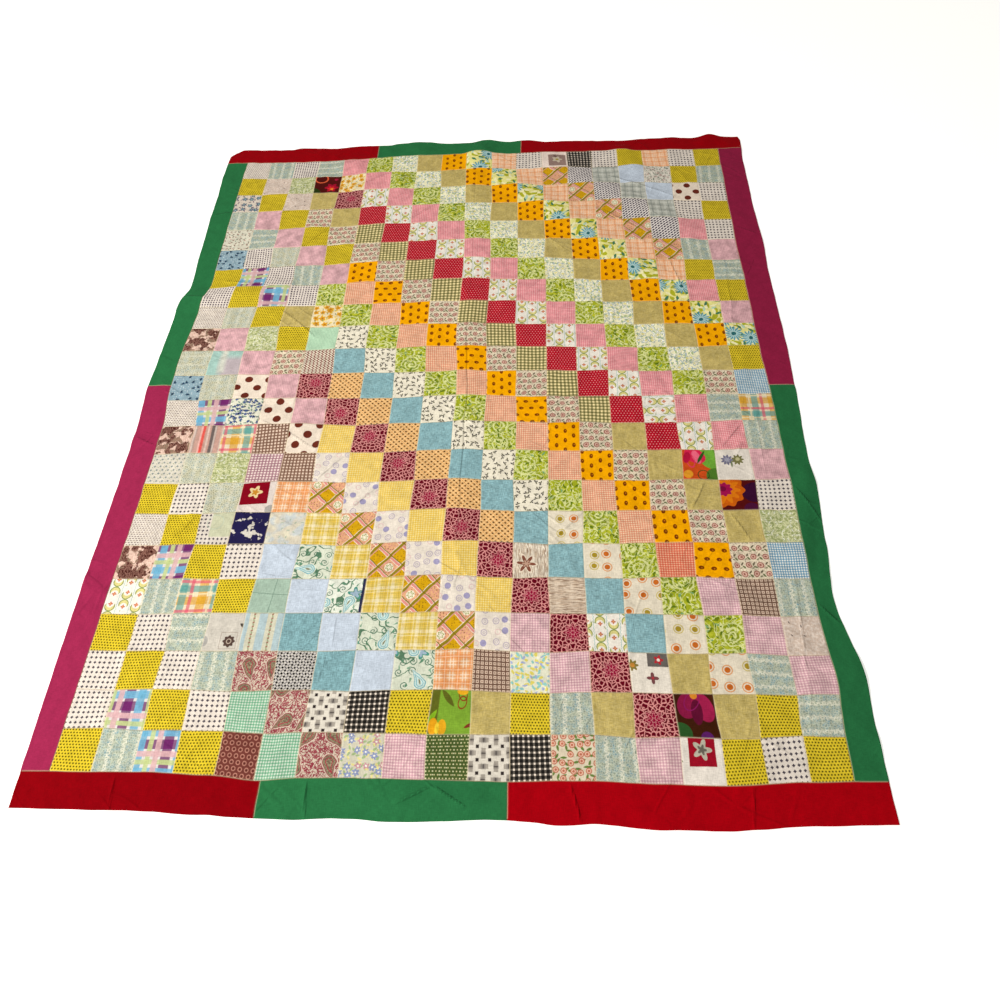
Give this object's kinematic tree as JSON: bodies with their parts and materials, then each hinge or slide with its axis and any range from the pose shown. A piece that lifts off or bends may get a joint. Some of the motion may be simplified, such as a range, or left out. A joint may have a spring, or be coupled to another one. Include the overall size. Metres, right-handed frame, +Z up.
{
  "type": "patchwork quilt",
  "caption": "Full-size scrap patchwork quilt of cotton squares in diagonal bands, with a pieced plain border, laid out flat with soft creases.",
  "frame": {"origin": "on the floor under the middle of the laid-out quilt", "axes": "+X along the rows of patches, +Y along the quilt's length away from its near edge, +Z up, out of the patched face"},
  "size_m": [2.082, 2.5876, 0.0129],
  "materials": {
    "patchwork_cotton": "plain-woven printed quilting cottons, matt",
    "red_cotton": "plain-dyed woven cotton, matt",
    "green_cotton": "plain-dyed woven cotton, matt",
    "magenta_cotton": "plain-dyed woven cotton, matt"
  },
  "bodies": {
    "root": {"patchwork_panel": "patchwork_cotton", "border_top_red_left": "red_cotton", "border_top_green": "green_cotton", "border_top_red_right": "red_cotton", "border_bottom_red_left": "red_cotton", "border_bottom_green": "green_cotton", "border_bottom_red_right": "red_cotton", "border_left_green": "green_cotton", "border_left_magenta": "magenta_cotton", "border_right_magenta": "magenta_cotton", "border_right_green": "green_cotton"}
  },
  "joints": []
}
